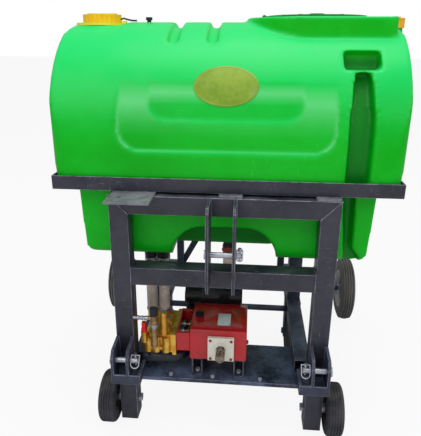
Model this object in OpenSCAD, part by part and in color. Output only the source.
// Wheeled three-point sprayer cart: a plastic tank in a steel ring, a hitch frame,
// six wheels and a PTO-driven plunger pump on a tray.
// X runs across the machine, Y from the tractor side to the rear, Z up.
// The origin is on the ground at the middle of the machine's footprint.
// Places below are written from the posts' front face and shifted by y_mid at the end.

/* [Hitch frame] */
// Outer width across both posts
hitch_w = 776; // [700:2:860]
// Width of the square steel section, seen from the front
section_w = 65; // [55:1:75]
// Depth of the square steel section
section_d = 70; // [60:1:80]
// Wall of the steel section
section_t = 4; // [3:0.5:6]
// Height of the top of the hitch frame
hitch_h = 947; // [925:1:975]
// Height of the posts' open feet above the ground
foot_gap = 20; // [10:1:40]
// Height of the top of the middle bar
mid_bar_h = 681; // [640:1:720]
// Thickness of the pads under the tank ring
pad_t = 8; // [5:1:12]
// Distance between the two bolt holes of the left pad
pad_hole_pitch = 73; // [60:1:90]
// Diameter of the bolt holes in the left pad
pad_hole_d = 13; // [9:0.5:17]

/* [Top link] */
// Clear gap between the two ears
ear_gap = 76; // [60:1:100]
// Thickness of each ear
ear_t = 10; // [8:1:14]
// Reach of the ears in front of the posts
ear_reach = 118; // [105:1:140]
// Diameter of the top link pin
top_pin_d = 19; // [18:0.1:25.4]
// Height of the top link pin
top_pin_h = 771; // [750:1:850]
// Distance of the top link pin in front of the posts
top_pin_reach = 62; // [45:1:80]

/* [Lower links] */
// Reach of the lower brackets in front of the posts
bracket_reach = 100; // [90:1:115]
// Height of the bottom of the lower brackets
bracket_low = 262; // [245:1:285]
// Height of the top of the lower brackets
bracket_high = 402; // [385:1:430]
// Thickness of the bracket plates
bracket_t = 10; // [8:1:12]
// Distance from the outer plate to the middle plate of a bracket, face to face
link_gap = 45; // [44:1:50]
// Diameter of the lower link pins
link_pin_d = 22; // [20:0.1:28]
// Height of the lower link pins
link_pin_h = 342; // [325:1:355]
// Distance of the lower link pins in front of the posts
link_pin_reach = 65; // [50:1:75]

/* [Wheels] */
// Diameter of the front and middle wheels
small_wheel_d = 200; // [180:2:204]
// Width of the front wheels
front_tyre_w = 62; // [50:1:70]
// Width of the middle wheels
middle_tyre_w = 54; // [40:1:56]
// Diameter of the small wheels' axles
small_axle_d = 20; // [16:1:25]
// Distance of the front axle behind the posts' front face
front_axle_y = 34; // [28:1:42]
// Distance of the middle axle behind the posts' front face
middle_axle_y = 570; // [520:5:620]
// Diameter of the rear wheels
big_wheel_d = 330; // [310:2:350]
// Width of the rear tyres
big_tyre_w = 70; // [60:1:80]
// Track of the rear wheels, between tyre centres
rear_track = 1236; // [1200:2:1300]
// Distance of the rear axle behind the posts' front face
rear_axle_y = 919; // [905:1:940]
// Diameter of the rear axle's ends
rear_axle_d = 20; // [16:1:25]

/* [Tank] */
// Greatest width of the tank
tank_w = 1176; // [1172:2:1186]
// Radius of the tank's barrel-shaped top
barrel_r = 400; // [396:1:404]
// Height of the barrel's centre line
barrel_h = 1100; // [1096:1:1104]
// Wall of the moulded tank
wall = 6; // [5:0.5:8]
// Distance of the lower body's sides from the ring's ends
belly_gap = 65; // [57:1:77]
// Depth of the lower body, front to back
belly_d = 690; // [660:2:700]
// Height of the bottom of the tank
belly_low = 686; // [684:1:700]
// Radius of the corners of the lower body
belly_r = 45; // [30:1:60]
// Width of the arch in the front of the lower body
arch_w = 380; // [340:2:400]
// Top height of the arch
arch_h = 808; // [790:1:820]
// Depth of the arch
arch_d = 155; // [120:1:170]
// Depth of the nested panels in the front
panel_depth = 8; // [4:0.5:12]
// Width of the grooves over the top
groove_w = 40; // [30:1:45]
// Depth of the grooves over the top
groove_depth = 20; // [10:1:24]
// Depth of the level channel in the front
channel_depth = 45; // [30:1:50]

/* [Filler] */
// Radius of the round end of the filler dish
dish_r = 208; // [200:1:212]
// Distance of the centre of the dish's round end from the tank's right side
dish_in = 318; // [308:1:328]
// Length of the dish from that centre to its square end
dish_len = 290; // [280:1:292]
// Height of the dish's rim above the top of the barrel
dish_rise = 15; // [10:1:25]
// Depth of the dish's floor under its rim
dish_depth = 31; // [27:1:35]
// Wall of the dish's rim
dish_t = 12; // [8:1:16]
// Inner diameter of the filler neck
neck_d = 318; // [280:2:322]
// Diameter of the main lid
lid_d = 356; // [350:1:360]
// Thickness of the main lid's top
lid_t = 9; // [6:0.5:12]
// Diameter of the left yellow cap
cap_d = 142; // [120:1:150]
// Height of the left yellow cap
cap_h = 29; // [24:1:34]
// Diameter of the collar under the left cap
collar_d = 190; // [176:1:196]
// Diameter of the right yellow cap
small_cap_d = 62; // [50:1:62]

/* [Tank ring] */
// Distance that the tank's sides stand out over the ring's ends
ring_in = 1; // [0:1:4]
// Leg of the angle iron
ring_leg = 48; // [40:1:55]
// Thickness of the angle iron
ring_t = 5; // [4:0.5:6]

/* [Undercarriage] */
// Width of the square tube of rails and legs
rail_w = 60; // [56:1:64]
// Wall of the square tube of rails and legs
rail_t = 4; // [3:0.5:5]
// Distance of the rails' centre lines from the middle of the machine
rail_x = 310; // [302:1:318]
// Height of the tray's top face
tray_h = 226; // [215:1:236]
// Depth of the tray
tray_d = 246; // [244:1:256]
// Thickness of the tray
tray_t = 4; // [3:0.5:6]
// Height of the tray's front lip
lip_h = 16; // [10:1:24]
// Side of the rear uprights
upright_w = 34; // [30:1:36]

/* [Pump] */
// Height of the crankshaft and the plungers
crank_h = 357; // [355:1:361]
// Length of the crankcase along the shaft
case_len = 201; // [200:1:210]
// Width of the crankcase
case_w = 212; // [206:1:216]
// Height of the crankcase
case_h = 126; // [124:1:132]
// Wall of the crankcase
case_t = 7; // [5:0.5:8]
// Side of the square bearing cover
cover_w = 97; // [90:1:100]
// Outer diameter of the splined stub
stub_d = 35; // [34:0.1:36]
// Reach of the splined stub in front of the posts
stub_reach = 52; // [40:1:60]
// Width of one spline
spline_w = 8.6; // [7:0.1:10]
// Pitch of the three plungers
plunger_pitch = 50; // [46:1:52]
// Diameter of a plunger
plunger_d = 18; // [16:0.5:20]
// Stroke of the crank
stroke = 18; // [12:1:20]
// Width of the brass head from its flange to its end
head_w = 111; // [106:1:114]

/* [Hoses] */
// Outer diameter of the clear ribbed hoses
hose_d = 42; // [38:1:44]
// Bore of the clear ribbed hoses
hose_bore = 30; // [24:1:32]
// Pitch of the ribs of the clear hoses
rib_pitch = 9; // [7:0.5:12]
// Diameter of the black suction hose
black_hose_d = 44; // [38:1:46]
// Bend radius of the black suction hose
black_bend_r = 60; // [55:1:64]

/* [Hidden] */
$fn = 64;

fit = 0.05;                 // radial clearance of a running fit
air = 0.3;                  // gap between neighbouring pieces that don't touch
eps = 0.01;
big = 2000;

half_w = hitch_w / 2;
post_in = half_w - section_w;
y_mid = (rear_axle_y + big_wheel_d / 2 - ear_reach) / 2;

// linchpins and their sprung rings: [half width, drop]
linch_r = 3.5;
linch_foot = 7;             // how far a shank stands out under its pin
linch_head = 18;            // and its head above the pin
eye_h = 12;                 // height of the ring's eye above the pin
wire_r = 2.3;
ring_tilt = 38;
link_ring = [15, 46];
top_ring = [9, 38];
pin_head = 8;
top_linch_x = ear_gap / 2 + ear_t + top_ring[0] + wire_r + 2;
bracket_out = half_w;
bracket_mid = bracket_out - 2 * bracket_t - link_gap;
link_linch_x = bracket_mid - link_ring[0] - wire_r - 2;
bracket_in = link_linch_x - 21;
box_top = link_pin_h - 42;

// wheels
wheel_gap = 14;
small_hub_r = 50;
small_wheel_r = small_wheel_d / 2;
big_wheel_r = big_wheel_d / 2;
rim_r = 95;
front_wheel_x = half_w + wheel_gap + front_tyre_w / 2;
beam_w = 50;
hub_reach = 30;
beam_half = rear_track / 2 - big_tyre_w / 2 - hub_reach;
axle_end = rear_track / 2 + 50;

// tank ring and tank body
ring_w = tank_w - 2 * ring_in;
belly_w = ring_w - 2 * belly_gap;
tank_end = tank_w / 2;
channel_x = tank_end - 192; // inner edge of the channel down the front
panel_half = tank_end - 228;
ring_low = hitch_h + pad_t;
ring_high = ring_low + ring_leg;
ring_y0 = 26;
tank_y0 = ring_y0 + ring_t + 9;
tank_yc = tank_y0 + barrel_r;
ring_y1 = 2 * tank_yc - ring_y0;
body_low = ring_low + ring_t;
tank_top = barrel_h + barrel_r;
belly_y0 = tank_yc - belly_d / 2;
end_slant = 57;             // height over which the ends widen above the ring
panel_top = 1312;
groove_x = [-192, -56];

// filler, caps and breather
dish_yc = tank_yc + 5;
dish_x = tank_end - dish_in;
dish_h = tank_top + dish_rise;
dish_floor_h = dish_h - dish_depth;
neck_x = dish_x + 42;
neck_top = dish_h - 3;
rim_t = 2;                  // rim of the basket strainer
lid_low = neck_top - 4;
lid_high = neck_top + air + lid_t;
hinge_x = neck_x - lid_d / 2 - 14;
hinge_h = lid_high - 4;
left_cap_x = 106 - tank_end;
left_cap_y = 400;
collar_low = tank_top - 14;
cap_low = collar_low + 9;
right_cap_x = tank_end + 4;
right_cap_y = 420;
right_cap_low = tank_top - 20;
breather_x = 283 - tank_end;
breather_y = 400;

// undercarriage
rail_low = tray_h;
rail_high = rail_low + rail_w;
upright_y = ring_y1 - upright_w;
upright_x = rail_x - rail_w / 2 - upright_w / 2;

// pump
case_y0 = 20;
case_x1 = 95;
case_x0 = case_x1 - case_w;
case_low = crank_h - 53;
case_high = case_low + case_h;
cross_x = case_x0 - 53;     // outer face of the crosshead block
flange_t = 14;
head_x1 = cross_x - flange_t;
head_x0 = head_x1 - head_w;
head_y0 = case_y0 + 10;
head_y1 = case_y0 + case_len - 10;
head_low = crank_h - 32;
head_high = crank_h + 38;
row_y = case_y0 + case_len / 2;
plunger_y = [for (i = [-1, 0, 1]) row_y + i * plunger_pitch];
crosshead_r = 17;
journal_r = 15;
bearing_r = 31;
cover_t = 12;
bolt_d = 12;
base_x = [case_x0 + 27, case_x1 - 27];
base_bolt_y = [case_y0 + 30, case_y0 + case_len - 30];
rib_r = 16;                 // ribs down the front of the head
reg_x = head_x0 + 50;
reg_r = 13;
reg_y = head_y0 - rib_r - reg_r - 3;
reg_top = crank_h + 138;
bypass_x = head_x0 + 10;
bypass_y = head_y0 - 22;

// hoses, filter and outlet valve
hose_y = 150;
hose_x = [head_x0 + 16, head_x0 + 64];
tail_top = head_high + 34;
valve_x = 10;
valve_low = belly_low - 52;
valve_r = 24;
filter_r = 42;
filter_y = tray_d + 2 + filter_r;
filter_h = 430;
filter_x0 = -165;
filter_neck_x = -82;
filter_x1 = 72;
lever_y = filter_y - valve_r - 10;
black_x = -142;
black_y = 44;
black_h = head_low - 36;

function arc(cx, cy, r, a0, a1, n = 12) =
    [for (i = [0:n]) let (a = a0 + (a1 - a0) * i / n) [cx + r * cos(a), cy + r * sin(a)]];

// mirrored pair helpers
module left() { mirror([1, 0, 0]) children(); }
module both() { children(); mirror([1, 0, 0]) children(); }
module along_x(r, len, fn = 64) { rotate([0, 90, 0]) cylinder(r = r, h = len, $fn = fn); }
module along_y(r, len, fn = 64) { rotate([-90, 0, 0]) cylinder(r = r, h = len, $fn = fn); }
// extrude a front-view outline (X, Z) from y0 to y1
module front_prism(y0, y1) { translate([0, y1, 0]) rotate([90, 0, 0]) linear_extrude(y1 - y0) children(); }
// extrude a side-view outline (Y, Z) from x0 to x1
module side_prism(x0, x1) { translate([x0, 0, 0]) rotate([90, 0, 90]) linear_extrude(x1 - x0) children(); }
module square_tube(w, d, t, len) {
    difference() {
        cube([w, d, len]);
        translate([t, t, -1]) cube([w - 2 * t, d - 2 * t, len + 2]);
    }
}

/* ---------- hitch frame ---------- */
module post() {
    color("#3a3a46") difference() {
        front_prism(0, section_d)
            polygon([[post_in, foot_gap], [half_w, foot_gap], [half_w, hitch_h], [post_in, hitch_h - section_w]]);
        translate([post_in + section_t, section_t, 0])
            cube([section_w - 2 * section_t, section_d - 2 * section_t, hitch_h - section_t]);
        translate([post_in - 1, front_axle_y, small_wheel_r]) along_x(small_axle_d / 2 + air, section_w + 2);
    }
}
module top_crossbar() {
    color("#3a3a46") difference() {
        front_prism(0, section_d) polygon([[-half_w, hitch_h], [half_w, hitch_h],
            [post_in, hitch_h - section_w], [-post_in, hitch_h - section_w]]);
        translate([-half_w + section_t, section_t, hitch_h - section_w + section_t])
            cube([hitch_w - 2 * section_t, section_d - 2 * section_t, section_w - 2 * section_t]);
    }
}
module mid_crossbar() {
    color("#3a3a46") translate([-post_in, 0, mid_bar_h])
        rotate([0, 90, 0]) square_tube(section_w, section_d, section_t, 2 * post_in);
}
module crossbar_pads() {
    pad_reach = 98;
    color("#8c8c96") {
        difference() {
            translate([-half_w + 12, -pad_reach, hitch_h]) cube([148, pad_reach + 42, pad_t]);
            for (s = [-1, 1])
                translate([-302 + s * pad_hole_pitch / 2, -40, hitch_h - 1]) cylinder(d = pad_hole_d, h = pad_t + 2);
        }
        translate([-14, 2, hitch_h]) cube([78, 40, pad_t]);
        translate([half_w - 82, 2, hitch_h]) cube([80, 40, pad_t]);
    }
}
module toplink_ear() {
    color("#3a3a46") difference() {
        side_prism(ear_gap / 2, ear_gap / 2 + ear_t)
            polygon([[0, mid_bar_h - 36], [0, hitch_h], [-ear_reach + 14, hitch_h],
                [-ear_reach, hitch_h - 14], [-ear_reach, mid_bar_h - 22], [-ear_reach + 14, mid_bar_h - 36]]);
        translate([ear_gap / 2 - 1, -top_pin_reach, top_pin_h]) along_x(top_pin_d / 2 + fit, ear_t + 2);
    }
}
// a straight pin along X with a head at its left end and a hole for the linchpin
module pin_along_x(x0, x1, d, hole_x) {
    difference() {
        union() {
            translate([x0, 0, 0]) along_x(d / 2, x1 - x0 - 3);
            translate([x1 - 3, 0, 0]) rotate([0, 90, 0]) cylinder(d1 = d, d2 = d - 5, h = 3);
            translate([x0 - pin_head, 0, 0]) along_x(d / 2 + 6, pin_head);
        }
        translate([hole_x, 0, -d]) cylinder(r = linch_r + fit, h = 2 * d);
    }
}
module linchpin_shank(pin_d) {
    color("silver") {
        translate([0, 0, -pin_d / 2 - linch_foot]) cylinder(r = linch_r, h = pin_d + linch_foot + 7);
        difference() {
            translate([0, 0, pin_d / 2 + 6]) cylinder(r = 6, h = linch_head - 6);
            translate([-8, 0, pin_d / 2 + eye_h]) along_x(wire_r + fit, 16);
        }
    }
}
// the sprung ring hangs from the linchpin's head and leans on the pin's front
module linchpin_wire(pin_d, size) {
    ring_half = size[0];
    ring_drop = size[1];
    color("silver") translate([0, 0, pin_d / 2 + eye_h]) rotate([-ring_tilt, 0, 0]) {
        translate([-ring_half, 0, 0]) along_x(wire_r, 2 * ring_half);
        for (s = [-1, 1]) {
            translate([s * ring_half, 0, 0]) sphere(r = wire_r);
            translate([s * ring_half, 0, -ring_drop + ring_half]) cylinder(r = wire_r, h = ring_drop - ring_half);
        }
        translate([0, 0, -ring_drop + ring_half]) rotate([90, 0, 0]) rotate([0, 0, 180])
            rotate_extrude(angle = 180) translate([ring_half, 0]) circle(r = wire_r);
    }
}
module toplink_pin() {
    translate([0, -top_pin_reach, top_pin_h]) {
        color("#9aa0b4") pin_along_x(-ear_gap / 2 - ear_t - 0.5, top_linch_x + 7, top_pin_d, top_linch_x);
        translate([top_linch_x, 0, 0]) linchpin_shank(top_pin_d);
    }
}
module toplink_ring() { translate([top_linch_x, -top_pin_reach, top_pin_h]) linchpin_wire(top_pin_d, top_ring); }

module bracket_plate(x0, top, nose) {
    side_prism(x0, x0 + bracket_t) polygon(concat([[0, bracket_low], [0, top], [-nose, top - 8]],
        [[-bracket_reach, top - 34], [-bracket_reach, bracket_low]]));
}
module lower_bracket() {
    plate_t = 8;
    color("#26262e") {
        difference() {
            union() {
                bracket_plate(bracket_out - bracket_t, bracket_high, bracket_reach - 18);
                bracket_plate(bracket_mid, bracket_high, bracket_reach - 18);
            }
            translate([bracket_mid - 1, -link_pin_reach, link_pin_h])
                along_x(link_pin_d / 2 + fit, bracket_out - bracket_mid + 2);
        }
        // low box that carries the foot of the plates, open at the top
        translate([bracket_in, -bracket_reach, bracket_low]) cube([bracket_t, bracket_reach, box_top - bracket_low]);
        translate([bracket_in, -bracket_reach, bracket_low]) cube([bracket_out - bracket_in, bracket_reach, plate_t]);
        translate([bracket_in, -bracket_reach, bracket_low])
            cube([bracket_out - bracket_in, plate_t, box_top - bracket_low]);
    }
}
// modelled on the left; the right one is its mirror, so both heads face outwards
module lower_pin() {
    translate([0, -link_pin_reach, link_pin_h]) {
        color("#9aa0b4") pin_along_x(-bracket_out - 0.5, -link_linch_x + 10, link_pin_d, -link_linch_x);
        translate([-link_linch_x, 0, 0]) linchpin_shank(link_pin_d);
    }
}
module lower_ring() { translate([-link_linch_x, -link_pin_reach, link_pin_h]) linchpin_wire(link_pin_d, link_ring); }

/* ---------- wheels ---------- */
// solid tyre with rounded shoulders on a disc hub, axis along X, centred on x = 0
module small_wheel(r, w, bore_r) {
    tread_r = 16;
    rotate([0, 90, 0]) {
        color("#2a2a2c") rotate_extrude() {
            translate([small_hub_r, -w / 2 + tread_r]) square([r - small_hub_r, w - 2 * tread_r]);
            translate([small_hub_r, -w / 2]) square([r - small_hub_r - tread_r, w]);
            for (s = [-1, 1]) translate([r - tread_r, s * (w / 2 - tread_r)]) circle(r = tread_r);
        }
        color("#55555c") rotate_extrude() {
            translate([bore_r, -w / 2 + 2]) square([10, w - 4]);
            translate([bore_r + 10, -5]) square([small_hub_r - bore_r - 10, 10]);
            translate([small_hub_r - 6, -w / 2 + 6]) square([6, w - 12]);
        }
    }
}
module front_wheel() {
    translate([front_wheel_x, front_axle_y, small_wheel_r])
        small_wheel(small_wheel_r, front_tyre_w, small_axle_d / 2 + fit);
}
module front_axle() {
    end_x = front_wheel_x + front_tyre_w / 2;
    color("#2e2e34") translate([0, front_axle_y, small_wheel_r]) {
        translate([post_in - 14, 0, 0]) along_x(small_axle_d / 2, end_x + 8 - post_in + 14);
        translate([post_in - 14, 0, 0]) along_x(small_axle_d / 2 + 6, 14 - air, 6);
        translate([half_w, 0, 0]) along_x(small_axle_d / 2 + 7, wheel_gap - 0.5);
        translate([end_x + 0.5, 0, 0]) along_x(small_axle_d / 2 + 5, 7.5, 6);
    }
}
module middle_wheel() {
    translate([rail_x, middle_axle_y, small_wheel_r])
        small_wheel(small_wheel_r, middle_tyre_w, small_axle_d / 2 + fit);
}
module middle_fork() {
    fork_t = 6;
    color("#26262e") {
        for (x = [rail_x - rail_w / 2 - fork_t, rail_x + rail_w / 2])
            side_prism(x, x + fork_t) translate([middle_axle_y, 0])
                polygon(concat([[38, rail_high - 12], [-38, rail_high - 12]], arc(0, small_wheel_r, 30, 180, 360)));
        translate([rail_x - rail_w / 2 - fork_t - 8, middle_axle_y, small_wheel_r])
            along_x(small_axle_d / 2, rail_w + 2 * fork_t + 16);
        for (s = [-1, 1]) translate([rail_x + s * (rail_w / 2 + fork_t + 4) - 4, middle_axle_y, small_wheel_r])
            along_x(small_axle_d / 2 + 6, 8, 6);
        for (s = [-1, 1]) translate([rail_x + s * (rail_w / 2 - 1.2) - 1.2, middle_axle_y, small_wheel_r])
            along_x(small_axle_d / 2 + 4, 2.4);
    }
}
// pneumatic tyre on a pressed rim, axis along X, centred on x = 0
module rear_wheel() {
    crown_r = 70;
    side_r = 25;
    w = big_tyre_w;
    translate([rear_track / 2, rear_axle_y, big_wheel_r]) rotate([0, 90, 0]) {
        color("#2a2a2c") rotate_extrude() difference() {
            intersection() {
                translate([big_wheel_r - crown_r, 0]) circle(r = crown_r);
                union() {
                    translate([rim_r - 8, -w / 2 + side_r]) square([big_wheel_r, w - 2 * side_r]);
                    translate([rim_r - 8, -w / 2]) square([big_wheel_r - rim_r - side_r + 8, w]);
                    for (s = [-1, 1]) translate([big_wheel_r - side_r, s * (w / 2 - side_r)]) circle(r = side_r);
                }
            }
            translate([0, -w / 2 + 12]) square([big_wheel_r - 14, w - 24]);
            translate([0, -w]) square([rim_r, 2 * w]);
        }
        color("#b9bcc2") rotate_extrude() {
            translate([rim_r - 5, -w / 2 + 8]) square([5, w - 16]);
            for (s = [-1, 1]) translate([rim_r - 5, s * (w / 2 - 7) - 2]) square([12, 4]);
            translate([22, 6]) square([rim_r - 22, 5]);
            translate([rear_axle_d / 2 + fit, -hub_reach]) square([12, hub_reach + 36]);
            translate([rear_axle_d / 2 + 11, 4]) square([12, 9]);
        }
    }
}
module rear_axle() {
    color("#26262e") translate([0, rear_axle_y, big_wheel_r]) {
        difference() {
            translate([-beam_half, -beam_w / 2, -beam_w / 2]) cube([2 * beam_half, beam_w, beam_w]);
            translate([-beam_half + 60, -beam_w / 2 + 4, -beam_w / 2 + 4])
                cube([2 * beam_half - 120, beam_w - 8, beam_w - 8]);
        }
        both() {
            translate([beam_half - 1, 0, 0]) along_x(rear_axle_d / 2, axle_end - beam_half + 1);
            translate([beam_half - 1, 0, 0])
                along_x(rear_axle_d / 2 + 3, rear_track / 2 - hub_reach - 0.5 - beam_half + 1);
        }
    }
}

/* ---------- tank ring ---------- */
module angle_profile() {
    polygon([[0, 0], [ring_leg, 0], [ring_leg, ring_t], [ring_t, ring_t], [ring_t, ring_leg], [0, ring_leg]]);
}
module ring_front() {
    color("#32323c") difference() {
        translate([0, ring_y0, ring_low]) side_prism(-ring_w / 2, ring_w / 2) angle_profile();
        for (s = [-1, 1]) translate([s * (ring_w / 2 + eps) - ring_leg / 2, ring_y0 + ring_t, ring_low - 1])
            cube([ring_leg, ring_leg + 5, ring_leg + 2]);
    }
}
module ring_rear() { translate([0, 2 * tank_yc, 0]) mirror([0, 1, 0]) ring_front(); }
module ring_side() {
    inner = ring_leg / 2;
    color("#32323c") front_prism(ring_y0 + ring_t, ring_y1 - ring_t) translate([ring_w / 2, ring_low])
        polygon([[0, 0], [-inner, 0], [-inner, ring_t], [-ring_t, ring_t], [-ring_t, ring_leg], [0, ring_leg]]);
}

/* ---------- undercarriage ---------- */
module side_rails() {
    color("#26262e") for (s = [-1, 1])
        translate([s * rail_x - rail_w / 2, rear_axle_y - beam_w / 2, rail_low])
            rotate([90, 0, 0]) square_tube(rail_w, rail_w, rail_t, rear_axle_y - beam_w / 2 - section_d);
    color("#26262e") for (s = [-1, 1])
        translate([s * rail_x - rail_w / 2, rear_axle_y - beam_w / 2, big_wheel_r + beam_w / 2])
            cube([rail_w, beam_w, rail_high - big_wheel_r - beam_w / 2]);
}
module tank_legs() {
    plate_t = 6;
    color("#26262e") for (s = [-1, 1]) translate([s * rail_x, middle_axle_y, 0]) {
        translate([-rail_w / 2, -rail_w / 2, rail_high])
            square_tube(rail_w, rail_w, rail_t, belly_low - plate_t - rail_high);
        translate([-60, -60, belly_low - plate_t]) cube([120, 120, plate_t]);
    }
}
// welded to the rails' inner faces
module rear_uprights() {
    color("#1e1e24") for (s = [-1, 1]) translate([s * upright_x - upright_w / 2, upright_y, rail_low])
        square_tube(upright_w, upright_w, 3, ring_low - rail_low);
}
// flat bar that runs up from the foot of the left upright to the rear ring rail
module rear_brace() {
    foot = [-upright_x + upright_w / 2, 300];
    top = [110, ring_low];
    bar = 36;
    color("#8a86a0") front_prism(upright_y + 12, upright_y + 18)
        polygon([foot, [foot[0], foot[1] + bar * 1.8], [top[0] - bar * 1.1, top[1]], top]);
}
module cross_tube() {
    tube_r = 13.5;
    color("#1a1a20") translate([-rail_x + rail_w / 2, middle_axle_y - 60, rail_low + 30]) difference() {
        along_x(tube_r, 2 * rail_x - rail_w);
        translate([-1, 0, 0]) along_x(tube_r - 3, 2 * rail_x - rail_w + 2);
    }
}
module frame_braces() {
    cross_tube();
    rear_brace();
}
module pump_tray() {
    color("#1c1c24") difference() {
        union() {
            translate([-post_in, 0, tray_h - tray_t]) cube([2 * post_in, section_d, tray_t]);
            translate([-rail_x - rail_w / 2, section_d, tray_h - tray_t])
                cube([2 * rail_x + rail_w, tray_d - section_d, tray_t]);
            translate([-post_in, 0, tray_h - lip_h]) cube([2 * post_in, tray_t, lip_h]);
        }
        for (x = base_x, y = base_bolt_y) translate([x, y, tray_h - tray_t - 1])
            cylinder(d = bolt_d, h = tray_t + 2);
    }
}
module fasteners() {
    color("#b9bcc2") {
        // nuts and washers of the rear axle
        both() translate([axle_end - 13, rear_axle_y, big_wheel_r]) difference() {
            union() {
                along_x(rear_axle_d / 2 + 10, 3);
                translate([3, 0, 0]) along_x(rear_axle_d / 2 + 8, 8, 6);
            }
            translate([-1, 0, 0]) along_x(rear_axle_d / 2 + fit, 14);
        }
        for (x = base_x, y = base_bolt_y) translate([x, y, tray_h - tray_t - 18]) {
            cylinder(d = bolt_d - 1, h = 18 + tray_t + 5 + 8);
            translate([0, 0, 8]) cylinder(d = 20, h = 10 - air, $fn = 6);
            translate([0, 0, 18 + tray_t + 5 + air]) cylinder(d = 20, h = 8, $fn = 6);
        }
        for (x = [-190, -30, 150]) translate([x, 18, tray_h]) cylinder(d = 16, h = 6, $fn = 6);
    }
}

/* ---------- tank ---------- */
module rounded_bottom_prism(w, low, high, r) {
    // outline with rounded lower corners, (first axis, Z)
    translate([-w / 2 + r, low]) square([w - 2 * r, high - low]);
    translate([-w / 2, low + r]) square([w, high - low - r]);
    for (s = [-1, 1]) translate([s * (w / 2 - r), low + r]) circle(r = r);
}
// upper body, drawn in by `inset` on every side
module barrel_profile(r, low) {
    intersection() {
        translate([tank_yc, barrel_h]) circle(r = r, $fn = 128);
        translate([tank_yc - r, barrel_h]) square(2 * r);
    }
    translate([tank_yc - r, low]) square([2 * r, barrel_h - low]);
}
module upper_body(inset) {
    side = tank_w / 2 - inset;
    foot = ring_w / 2 - ring_t - 2 - inset;
    top = tank_top - inset + 1;
    corner = 60;
    plan_r = 45 - inset;
    depth = 2 * (barrel_r - inset);
    intersection() {
        side_prism(-tank_w / 2 - 9, tank_w / 2 + 9) barrel_profile(barrel_r - inset, body_low + inset);
        front_prism(0, big) {
            polygon([[-foot, 0], [foot, 0], [foot, ring_high], [side, ring_high + end_slant], [side, top - corner],
                [-side, top - corner], [-side, ring_high + end_slant], [-foot, ring_high]]);
            translate([-side + corner, ring_high]) square([2 * (side - corner), top - ring_high]);
            for (s = [-1, 1]) translate([s * (side - corner), top - corner]) circle(r = corner);
        }
        linear_extrude(big) translate([0, tank_yc]) {
            square([2 * (side - plan_r), depth + 2], center = true);
            square([2 * side, depth - 2 * plan_r], center = true);
            for (sx = [-1, 1], sy = [-1, 1])
                translate([sx * (side - plan_r), sy * (depth / 2 - plan_r)]) circle(r = plan_r);
        }
    }
}
module lower_body(inset) {
    r = belly_r - inset;
    half = belly_w / 2 - inset;
    draft = 14;
    low = belly_low + inset;
    high = body_low + 30;
    intersection() {
        front_prism(0, big) {
            polygon([[half, high], [-half, high], [-half + draft, low + r], [-half + draft + r, low],
                [half - draft - r, low], [half - draft, low + r]]);
            for (s = [-1, 1]) translate([s * (half - draft - r), low + r]) circle(r = r);
        }
        side_prism(-big, big) translate([tank_yc, 0]) rounded_bottom_prism(belly_d - 2 * inset, low, high, r);
    }
}
module arch_outline(grow) {
    half = arch_w / 2 + grow;
    top = arch_h + grow;
    r = 120;
    translate([-half, 0]) square([2 * half, top - r]);
    translate([-half + r, 0]) square([2 * (half - r), top]);
    for (s = [-1, 1]) translate([s * (half - r), top - r]) circle(r = r);
}
module arch_cut(grow) { front_prism(0, belly_y0 + arch_d + grow) arch_outline(grow); }
// U-shaped panel outline with a straight top edge
module panel_outline(half, low, high, r, grow) {
    translate([-half - grow + r, low - grow]) square([2 * (half + grow - r), high - low + grow]);
    translate([-half - grow, low + r]) square([2 * (half + grow), high - low - r]);
    for (s = [-1, 1]) translate([s * (half + grow - r), low - grow + r]) circle(r = r);
}
// a panel's floor is a larger barrel that meets the tank at the panel's top edge
function floor_r(depth) = let (dz = panel_top - barrel_h, back = barrel_r - sqrt(barrel_r * barrel_r - dz * dz),
    d = back - depth) (dz * dz + d * d) / (2 * d);
module panel_cut(half, low, r, depth, grow) {
    fr = floor_r(depth + grow);
    difference() {
        front_prism(0, tank_yc) panel_outline(half, low, panel_top, r, grow);
        translate([-big, 0, 0]) side_prism(0, 2 * big) {
            translate([tank_y0 + depth + grow + fr, barrel_h]) circle(r = fr, $fn = 128);
            translate([tank_y0 + depth + grow, 0]) square([2 * fr, barrel_h]);
        }
    }
}
// a cut of constant depth behind the barrel's front
module front_cut(depth) {
    difference() {
        front_prism(0, tank_yc) children();
        side_prism(-big, big) {
            translate([tank_yc, barrel_h]) circle(r = barrel_r - depth, $fn = 128);
            translate([tank_y0 + depth, 0]) square([2 * (barrel_r - depth), barrel_h]);
        }
    }
}
module channel_cut(grow) {
    front_cut(channel_depth + grow)
        translate([channel_x, 0]) polygon([[15 - grow, 1342 + grow], [65 + grow, 1342 + grow], [78 + grow, 1200],
            [72 + grow, 0], [6 - grow, 0], [-grow, 1200]]);
}
module lobe_groove_cut(grow) {
    front_prism(0, belly_y0 + 40 + grow)
        translate([channel_x, 0]) polygon([[8 - grow, body_low + eps + grow], [50 + grow, body_low + eps + grow], [56 + grow, 748 + grow],
            [84 + grow, 712 + grow], [84 + grow, 0], [40 - grow, 0], [28 - grow, 740]]);
}
module pocket_cut(grow) {
    translate([channel_x - 20 - grow, 0, 1348 - grow]) cube([119 + 2 * grow, 204 + grow, 55 + 2 * grow]);
}
module strap_groove(x, grow) {
    half = groove_w / 2 + grow;
    front_h = 1424;
    translate([x - half, tank_yc, barrel_h]) intersection() {
        difference() {
            along_x(barrel_r + 60, 2 * half, 128);
            translate([-1, 0, 0]) along_x(barrel_r - groove_depth - grow, 2 * half + 2, 128);
        }
        translate([-1, -big / 2, front_h - barrel_h - grow]) cube([2 * half + 2, big, big]);
    }
}
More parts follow.
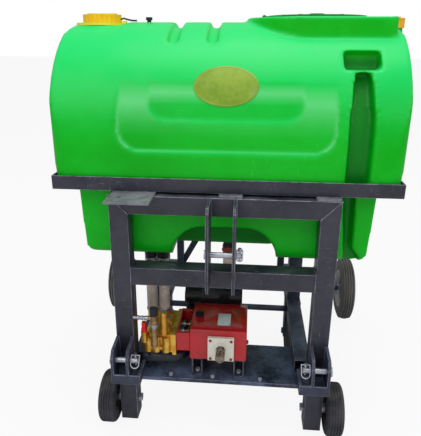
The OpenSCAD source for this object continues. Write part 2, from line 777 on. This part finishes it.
module dish_outline(inset) {
    r = dish_r - inset;
    corner = 22;
    intersection() {
        union() {
            circle(r = r, $fn = 96);
            translate([0, -r]) square([dish_len - inset - corner, 2 * r]);
            translate([0, -r + corner]) square([dish_len - inset, 2 * (r - corner)]);
            for (s = [-1, 1]) translate([dish_len - inset - corner, s * (r - corner)]) circle(r = corner);
        }
        translate([-2 * r, -2 * r]) square([4 * r + dish_len, 4 * r]);
    }
}
module tank_outer() {
    upper_body(0);
    lower_body(0);
    translate([dish_x, dish_yc, tank_top - 150]) linear_extrude(dish_h - tank_top + 150) dish_outline(0);
    translate([left_cap_x, left_cap_y, tank_top - 60]) cylinder(d = collar_d + 10, h = collar_low - tank_top + 60);
    translate([right_cap_x, right_cap_y, tank_top - 100]) cylinder(r1 = 5, r2 = 27, h = 50);
    translate([right_cap_x, right_cap_y, tank_top - 51]) cylinder(r = 27, h = right_cap_low - tank_top + 51);
    translate([breather_x, breather_y, tank_top - 20]) cylinder(r = 16, h = 19);
}
// flats on the shoulders that the left collar and the right cap stand on
module cap_flats(grow) {
    translate([left_cap_x, left_cap_y, collar_low - grow]) cylinder(d = collar_d + 3 + 2 * grow, h = 100);
    translate([right_cap_x, right_cap_y, right_cap_low - grow]) cylinder(d = small_cap_d + 3 + 2 * grow, h = 100);
}
module tank_inner() {
    difference() {
        union() {
            upper_body(wall);
            lower_body(wall);
            translate([dish_x, dish_yc, tank_top - 150])
                linear_extrude(dish_floor_h - wall - tank_top + 150) dish_outline(wall);
        }
        arch_cut(wall);
        panel_cut(panel_half, 1085, 78, panel_depth, wall);
        panel_cut(panel_half - 104, 1186, 62, 2 * panel_depth - 2, wall);
        channel_cut(wall);
        lobe_groove_cut(wall);
        pocket_cut(wall);
        for (x = groove_x) strap_groove(x, wall);
        cap_flats(wall);
        // keeps a floor under the dish
        translate([dish_x, dish_yc, dish_floor_h - wall]) linear_extrude(100) dish_outline(dish_t - wall);
    }
}
module tank_shell() {
    // threaded neck under the right cap
    color("#00b41e") translate([right_cap_x, right_cap_y, right_cap_low - 1]) cylinder(r = 19, h = 20);
    color("#00b41e") difference() {
        tank_outer();
        tank_inner();
        translate([dish_x, dish_yc, dish_floor_h]) linear_extrude(100) difference() {
            dish_outline(dish_t);
            translate([neck_x - dish_x, 0]) circle(d = neck_d + 2 * wall);
        }
        translate([neck_x, dish_yc, neck_top]) cylinder(d = neck_d + 2 * wall + 1, h = 50);
        translate([neck_x, dish_yc, dish_floor_h - 40]) cylinder(d = neck_d, h = 100);
        translate([neck_x, dish_yc, neck_top - rim_t]) cylinder(d = neck_d + wall, h = 50);
        translate([left_cap_x, left_cap_y, tank_top - 90]) cylinder(d = cap_d - 22, h = 120);
        arch_cut(0);
        panel_cut(panel_half, 1085, 78, panel_depth, 0);
        panel_cut(panel_half - 104, 1186, 62, 2 * panel_depth - 2, 0);
        channel_cut(0);
        lobe_groove_cut(0);
        pocket_cut(0);
        for (x = groove_x) strap_groove(x, 0);
        cap_flats(0);
        for (x = hose_x) translate([x, hose_y, 0]) cylinder(r = hose_bore / 2, h = belly_low + 40);
        translate([valve_x, filter_y, 0]) cylinder(r = hose_bore / 2, h = belly_low + 40);
    }
}
// threaded outlets under the tank, with their nuts
module tank_outlets() {
    color("#1c1c20") for (p = [[hose_x[0], hose_y], [hose_x[1], hose_y]]) translate([p[0], p[1], 0]) difference() {
        union() {
            translate([0, 0, belly_low - 12]) cylinder(d = 46, h = 12);
            translate([0, 0, belly_low - 24]) cylinder(d = hose_d + 2, h = 12);
        }
        translate([0, 0, belly_low - 30]) cylinder(d = hose_bore - 4, h = 40);
    }
    outlet_valve();
}
module main_lid() {
    skirt_t = 7;
    color("#1f8f34") translate([neck_x, dish_yc, 0]) {
        translate([0, 0, neck_top + air]) cylinder(d = lid_d, h = lid_t, $fn = 96);
        difference() {
            translate([0, 0, lid_low]) cylinder(d = lid_d, h = lid_t, $fn = 96);
            translate([0, 0, lid_low - 1]) cylinder(d = lid_d - 2 * skirt_t, h = 40, $fn = 96);
        }
        for (a = [0:30:150]) rotate(a) translate([-lid_d / 2 + 30, -4, lid_high - 1]) cube([lid_d - 60, 8, 3.5]);
        translate([0, 0, lid_high]) cylinder(r = 26, h = 9);
    }
    color("#1f8f34") {
        for (y = [-34, 10]) difference() {
            union() {
                translate([hinge_x, dish_yc + y, hinge_h]) along_y(7, 24);
                translate([hinge_x, dish_yc + y, hinge_h - 3]) cube([18, 24, 6]);
            }
            translate([hinge_x, dish_yc + y - 1, hinge_h]) along_y(3 + fit, 26);
        }
    }
}
module lid_hinge() {
    color("#1c1c20") {
        translate([hinge_x, dish_yc - 38, hinge_h]) along_y(3, 76);
        difference() {
            translate([hinge_x - 7, dish_yc - 9, dish_floor_h]) cube([14, 18, hinge_h + 5 - dish_floor_h]);
            translate([hinge_x - 8, dish_yc - 10, hinge_h + 5]) cube([16, 20, 10]);
        }
    }
}
// strainer that hangs by its rim inside the filler neck
module basket_strainer() {
    basket_r = neck_d / 2 - 4;
    depth = 150;
    t = 2.5;
    slot_w = 8;
    color("#c8c8c0") translate([neck_x, dish_yc, neck_top - depth]) difference() {
        union() {
            cylinder(r = basket_r, h = depth);
            translate([0, 0, depth - rim_t]) cylinder(d = neck_d + wall - 1, h = rim_t);
        }
        translate([0, 0, t]) cylinder(r = basket_r - t, h = depth);
        for (a = [0:30:150]) rotate(a)
            translate([-basket_r - 1, -slot_w / 2, 18]) cube([2 * basket_r + 2, slot_w, depth - 60]);
        for (x = [-96:24:96]) translate([x - 5, -70, -1]) cube([10, 140, t + 2]);
    }
}
module grip_cap(d, h, ribs) {
    difference() {
        cylinder(d = d, h = h, $fn = 96);
        for (i = [0:ribs - 1]) rotate(i * 360 / ribs) translate([d / 2 + 1.5, 0, -1]) cylinder(r = 4, h = h - 4, $fn = 16);
        translate([0, 0, -1]) cylinder(d = d - 14, h = h - 5, $fn = 96);
    }
    translate([-d / 2 + 16, -5, h]) cube([d - 32, 10, 5]);
}
module left_cap() { color("#f2c80a") translate([left_cap_x, left_cap_y, cap_low + air]) grip_cap(cap_d, cap_h, 24); }
module left_cap_collar() {
    neck_r = cap_d / 2 - 11;
    color("#ead73c") translate([left_cap_x, left_cap_y, 0]) difference() {
        union() {
            translate([0, 0, collar_low]) cylinder(d = collar_d, h = cap_low - collar_low, $fn = 96);
            translate([0, 0, collar_low]) cylinder(r = neck_r, h = cap_low + 16 - collar_low);
            translate([cap_d / 2 + 6, -12, cap_low]) cube([14, 24, 8]);
        }
        translate([0, 0, collar_low - 1]) cylinder(r = neck_r - 6, h = 60);
    }
}
module right_cap() { color("#f5a81e") translate([right_cap_x, right_cap_y, right_cap_low + air]) grip_cap(small_cap_d, 34, 14); }
module breather() {
    color("#1c1c20") translate([breather_x, breather_y, tank_top - 1]) {
        cylinder(r = 8, h = 7);
        translate([0, 0, 7]) cylinder(r = 12, h = 10);
    }
}

/* ---------- suction line ---------- */
module outlet_valve() {
    color("#c9a227") translate([valve_x, filter_y, 0]) difference() {
        union() {
            translate([0, 0, belly_low - 10]) cylinder(d = 50, h = 10, $fn = 6);
            translate([0, 0, valve_low]) cylinder(d = 38, h = belly_low - valve_low);
            translate([0, 0, valve_low + 22]) sphere(r = valve_r);
            translate([0, -valve_r - 10, valve_low + 22]) along_y(7, 20);
        }
        translate([0, 0, valve_low - 10]) cylinder(r = 11, h = belly_low - valve_low + 20);
    }
}
module outlet_lever() {
    color("#a01818") translate([valve_x, lever_y - 5 - air, valve_low + 22]) {
        along_y(11, 5);
        translate([-24, 0, -6]) cube([48, 5, 12]);
    }
}
// ribbed hose standing on z = 0
module ribbed_hose(len) {
    end = 14;
    root = hose_d / 2 - 2.5;
    count = floor((len - 2 * end) / rib_pitch);
    start = (len - count * rib_pitch) / 2;
    rotate_extrude() polygon(concat([[hose_bore / 2, 0], [root, 0]],
        [for (i = [0:count - 1]) let (z = start + i * rib_pitch) each
            [[root, z + 0.12 * rib_pitch], [hose_d / 2, z + 0.3 * rib_pitch],
             [hose_d / 2, z + 0.7 * rib_pitch], [root, z + 0.88 * rib_pitch]]],
        [[root, len], [hose_bore / 2, len]]));
}
module clear_hoses() {
    filter_top = filter_h + filter_r + 10;
    color("#b8a898") {
        for (x = hose_x) translate([x, hose_y, tail_top]) ribbed_hose(belly_low - 24 - tail_top);
        translate([valve_x, filter_y, filter_top]) ribbed_hose(valve_low - filter_top);
    }
}
module suction_filter() {
    color("#14141a") {
        translate([filter_neck_x, filter_y, filter_h]) along_x(filter_r, filter_x1 - filter_neck_x - 8);
        translate([filter_x1 - 8, filter_y, filter_h]) along_x(filter_r - 8, 8);
        translate([filter_neck_x - 16, filter_y, filter_h]) along_x(filter_r + 4, 16);
        translate([filter_x0, filter_y, filter_h]) along_x(filter_r - 6, filter_neck_x - 16 - filter_x0);
        for (a = [0:20:340]) translate([filter_neck_x - 14, filter_y, filter_h]) rotate([a, 0, 0])
            translate([0, 0, filter_r + 3]) cube([12, 6, 4]);
        translate([valve_x, filter_y, filter_h]) cylinder(d = hose_d - 6, h = filter_r + 10);
        translate([black_x, filter_y, filter_h - filter_r - 4]) cylinder(d = black_hose_d - 8, h = filter_r);
    }
    // bracket from the back edge of the tray
    color("#1c1c24") {
        translate([-20, tray_d - 6, tray_h]) cube([40, 6, filter_h + 30 - tray_h]);
        difference() {
            union() {
                translate([-14, filter_y, filter_h]) along_x(filter_r + 4, 20);
                translate([-14, tray_d - 6, filter_h - 12]) cube([20, filter_y - filter_r - tray_d + 8, 24]);
            }
            translate([-15, filter_y, filter_h]) along_x(filter_r - 1, 22);
        }
    }
}
// black hose: down from the filter, forward under the crosshead, then left under the head
module bend(r, d) { rotate_extrude(angle = 90) translate([r, 0]) circle(d = d); }
module black_hose() {
    r = black_bend_r;
    d = black_hose_d;
    top = filter_h - filter_r - 4;
    color("#15151b") {
        translate([black_x, filter_y, black_h + r]) cylinder(d = d, h = top - black_h - r);
        translate([black_x, filter_y - r, black_h + r]) rotate([0, 90, 0]) bend(r, d);
        translate([black_x, black_y + r, black_h]) along_y(d / 2, filter_y - black_y - 2 * r);
        translate([black_x - r, black_y + r, black_h]) rotate([0, 0, -90]) bend(r, d);
        translate([head_x0 + 4, black_y, black_h]) along_x(d / 2, black_x - r - head_x0 - 4);
        translate([head_x0 + 4, black_y, black_h]) sphere(d = d);
        for (x = [head_x0 + 28, head_x0 + 76])
            translate([x, black_y, black_h]) cylinder(d = 38, h = head_low - black_h);
    }
}

/* ---------- pump ---------- */
module pump_base() {
    color("#15151b") for (x = base_x) difference() {
        translate([x - 20, case_y0 + 4, tray_h]) cube([40, case_len - 8, case_low - tray_h]);
        translate([x - 15, case_y0 + 3, tray_h + 5]) cube([30, case_len, case_low - tray_h - 10]);
        for (y = base_bolt_y) translate([x, y, tray_h - 1]) cylinder(d = bolt_d, h = 8);
    }
}
module crankcase() {
    block_low = crank_h - 27;
    block_high = crank_h + 50;
    color("#c01020") difference() {
        union() {
            translate([case_x0, case_y0, case_low]) cube([case_w, case_len, case_h]);
            translate([cross_x, case_y0 + 8, block_low])
                cube([case_x0 - cross_x + 1, case_len - 16, block_high - block_low]);
            // ribs on the top and raised edge of the front
            for (y = [case_y0 + 20, case_y0 + case_len - 34])
                translate([case_x0 + 12, y, case_high]) cube([case_w - 24, 6, 4]);
            translate([20, case_y0 + case_len - 60, case_high]) cylinder(r = 15, h = 5);
        }
        translate([case_x0 + case_t, case_y0 + case_t, case_low + case_t])
            cube([case_w - 2 * case_t, case_len - 2 * case_t, case_h - 2 * case_t]);
        // open well over the glands
        translate([cross_x + 8, case_y0 + 22, block_low + 8])
            cube([case_x0 - cross_x - 12, case_len - 44, big]);
        // bearing seats and crosshead guides
        translate([0, case_y0 - 1, crank_h]) along_y(bearing_r + fit, case_t + 2);
        translate([0, case_y0 + case_len - case_t - 1, crank_h]) along_y(bearing_r + fit, case_t + 2);
        for (y = plunger_y) {
            translate([case_x0 - 6, y, crank_h]) along_x(crosshead_r + fit, case_t + 12);
            translate([cross_x - 1, y, crank_h]) along_x(plunger_d / 2 + 4, 12);
        }
    }
    // drain plug
    color("#101014") translate([case_x1, row_y, case_low + 18]) along_x(9, 8, 6);
}
module oil_cap() {
    color("#101014") translate([-90, case_y0 + 105, case_high + air]) {
        difference() {
            cylinder(r = 17, h = 12);
            for (i = [0:11]) rotate(i * 30) translate([18, 0, -1]) cylinder(r = 2.5, h = 14, $fn = 16);
        }
        translate([-12, -3, 12]) cube([24, 6, 4]);
    }
}
module gland_rings() {
    color("silver") for (y = plunger_y) difference() {
        translate([cross_x + 8, y, crank_h]) along_x(18.5, 12);
        translate([cross_x + 7, y, crank_h]) along_x(plunger_d / 2 + fit, 14);
    }
}
module cover(screw_h) {
    difference() {
        union() {
            translate([-cover_w / 2, -cover_t, -cover_w / 2]) cube([cover_w, cover_t, cover_w]);
            translate([0, -cover_t - 3, 0]) along_y(30, 4);
        }
        translate([0, -cover_t - 4, 0]) along_y(stub_d / 2 + 0.4, cover_t + 8);
    }
    for (sx = [-1, 1], sz = [-1, 1])
        translate([sx * (cover_w / 2 - 10), -cover_t - screw_h, sz * (cover_w / 2 - 10)]) along_y(6, screw_h + 1);
    // ball bearing behind the cover
    translate([0, air, 0]) difference() {
        along_y(bearing_r, 16);
        translate([0, -1, 0]) along_y(journal_r + fit, 18);
    }
}
module bearing_covers() {
    color("#d8d6cc") translate([0, case_y0, crank_h]) cover(3);
    color("#d8d6cc") translate([0, case_y0 + case_len, crank_h]) mirror([0, 1, 0]) cover(3);
}
module crankshaft() {
    throw_r = 19;
    throw_w = 20;
    root_r = stub_d / 2 - 2.7;
    stub_y0 = -stub_reach;
    end_y = case_y0 + case_len;
    color("#a09a90") translate([0, 0, crank_h]) {
        // stub with six splines and a locking groove
        translate([0, stub_y0, 0]) along_y(root_r, case_y0 - 16 - stub_y0);
        difference() {
            for (i = [0:5]) rotate([0, i * 60, 0])
                translate([-spline_w / 2, stub_y0 + 2, 0]) cube([spline_w, case_y0 - 18 - stub_y0, stub_d / 2 - 0.3]);
            translate([0, stub_y0 + 20, 0]) difference() {
                along_y(stub_d, 7);
                translate([0, -1, 0]) along_y(root_r, 9);
            }
        }
        translate([0, case_y0 - 17, 0]) along_y(stub_d / 2, 17);
        translate([0, case_y0 - 1, 0]) along_y(journal_r, case_len + 2);
        for (i = [0:2]) rotate([0, i * 120, 0])
            translate([0, plunger_y[i] - throw_w / 2, stroke / 2]) along_y(throw_r, throw_w);
        for (y = [plunger_y[0] - throw_w / 2 - 8, plunger_y[2] + throw_w / 2])
            translate([0, y, 0]) along_y(30, 8);
    }
}
module plunger(i) {
    color("#d0d0d4") translate([0, plunger_y[i], crank_h]) {
        translate([head_x1 - 22, 0, 0]) along_x(plunger_d / 2, case_x0 - head_x1 + 22 - stroke);
        translate([case_x0 - stroke, 0, 0]) along_x(crosshead_r, 44 + stroke);
    }
}
module pump_head() {
    plug_r = 17;
    color("#c98f2a") difference() {
        union() {
            translate([head_x1, case_y0 + 4, crank_h - 45]) cube([flange_t, case_len - 8, 88]);
            translate([head_x0 + 10, head_y0, head_low]) cube([head_w - 10, head_y1 - head_y0, head_high - head_low]);
            // ribs down the front face
            for (x = [head_x0 + 18, head_x0 + 50, head_x0 + 88])
                translate([x, head_y0, head_low]) cylinder(r = rib_r, h = head_high - head_low - 8);
            // delivery rail on the top
            translate([head_x0 + 26, head_y0 - 4, head_high - 4]) along_y(18, head_y1 - head_y0 + 8);
        }
        for (y = plunger_y) translate([head_x1 - 46, y, crank_h]) along_x(plunger_d / 2 + fit, 46 + flange_t + 1);
    }
    // valve plugs in a row along the head
    color("#d9a23a") for (y = plunger_y) translate([head_x0 + 84, y + 4, head_high]) {
        cylinder(r = plug_r, h = 8);
        translate([0, 0, 8]) cylinder(r = plug_r - 3, h = 10, $fn = 6);
    }
    // brass column of the delivery and hose tails
    color("#a8752a") {
        translate([head_x0 + 78, head_y0 + 6, head_high]) cylinder(r = 15, h = 78);
        translate([head_x0 + 78, head_y0 + 6, head_high + 78]) sphere(r = 15);
        for (x = hose_x) translate([x, hose_y, head_high]) difference() {
            union() {
                cylinder(r = hose_d / 2 - 1, h = tail_top - head_high, $fn = 6);
                cylinder(r = hose_bore / 2 - 0.5, h = tail_top - head_high + 26);
            }
            translate([0, 0, 10]) cylinder(r = hose_bore / 2 - 4, h = tail_top - head_high + 30);
        }
    }
    // bypass valve at the front end of the delivery rail
    color("#b58230") translate([bypass_x, bypass_y, crank_h + 20]) {
        cylinder(r = 12, h = 42);
        translate([10, 6, 14]) rotate([0, 0, 45]) along_y(8, 20);
    }
    // bolts
    color("#e0e0d8") {
        for (x = [head_x0 + 34, head_x0 + 68], z = [head_low + 16, head_high - 14])
            translate([x, head_y0 - 8, z]) along_y(6, 9, 6);
        for (y = [case_y0 + 16, row_y - 25, row_y + 25, case_y0 + case_len - 16], z = [crank_h - 36, crank_h + 34])
            translate([head_x1 - 8, y, z]) along_x(6, 9, 6);
    }
}
module regulator() {
    color("#a8752a") translate([reg_x, reg_y, 0]) {
        translate([0, 0, crank_h + 8]) cylinder(r = reg_r, h = reg_top - crank_h - 28);
        translate([0, 0, crank_h + 19]) along_y(9, reg_r + 3 - air);
        translate([0, 0, crank_h + 60]) cylinder(r = reg_r + 3, h = 14, $fn = 6);
    }
    // silver outlet nipple towards the post and the spring housing
    color("#c8ccd4") translate([reg_x, reg_y, reg_top - 20]) {
        cylinder(r = 11, h = 20);
        translate([0, 0, 8]) rotate([0, 0, 180]) along_x(6, post_in + reg_x - 4);
        for (x = [14, 26, 38]) translate([-x - 8, 0, 8]) along_x(8, 6);
    }
}
module regulator_knob() {
    color("#101014") translate([reg_x, reg_y, reg_top + air]) difference() {
        cylinder(r = 14, h = 30);
        for (i = [0:9]) rotate(i * 36) translate([15.5, 0, 4]) cylinder(r = 3, h = 30, $fn = 16);
    }
}
module bypass_lever() {
    color("#d01010") translate([bypass_x, bypass_y, crank_h + 62 + air]) {
        cylinder(r = 11, h = 12);
        translate([-7, -9, 4]) cube([14, 18, 36]);
    }
}
/* ---------- placing ---------- */
module placed() { translate([0, -y_mid, 0]) children(); }
placed() left() post();  // post_left
placed() post();  // post_right
placed() top_crossbar();
placed() mid_crossbar();
placed() crossbar_pads();
placed() left() toplink_ear();  // toplink_ear_left
placed() toplink_ear();  // toplink_ear_right
placed() toplink_pin();
placed() toplink_ring();
placed() left() lower_bracket();  // lower_bracket_left
placed() lower_bracket();  // lower_bracket_right
placed() lower_pin();  // lower_pin_left
placed() left() lower_pin();  // lower_pin_right
placed() lower_ring();  // linchpin_ring_left
placed() left() lower_ring();  // linchpin_ring_right
placed() left() front_wheel();  // front_wheel_left
placed() front_wheel();  // front_wheel_right
placed() both() front_axle();  // front_axles
placed() left() middle_wheel();  // middle_wheel_left
placed() middle_wheel();  // middle_wheel_right
placed() both() middle_fork();  // middle_forks
placed() left() rear_wheel();  // rear_wheel_left
placed() rear_wheel();  // rear_wheel_right
placed() rear_axle();
placed() ring_front();
placed() ring_rear();
placed() left() ring_side();  // ring_left
placed() ring_side();  // ring_right
placed() side_rails();
placed() tank_legs();
placed() rear_uprights();
placed() frame_braces();
placed() pump_tray();
placed() fasteners();
placed() tank_shell();
placed() tank_outlets();
placed() main_lid();
placed() lid_hinge();
placed() basket_strainer();
placed() left_cap();
placed() left_cap_collar();
placed() right_cap();
placed() breather();
placed() outlet_lever();
placed() clear_hoses();
placed() suction_filter();
placed() black_hose();
placed() pump_base();
placed() crankcase();
placed() oil_cap();
placed() bearing_covers();
placed() crankshaft();
placed() plunger(0);  // plunger_front
placed() plunger(1);  // plunger_middle
placed() plunger(2);  // plunger_rear
placed() gland_rings();
placed() pump_head();
placed() regulator();
placed() regulator_knob();
placed() bypass_lever();
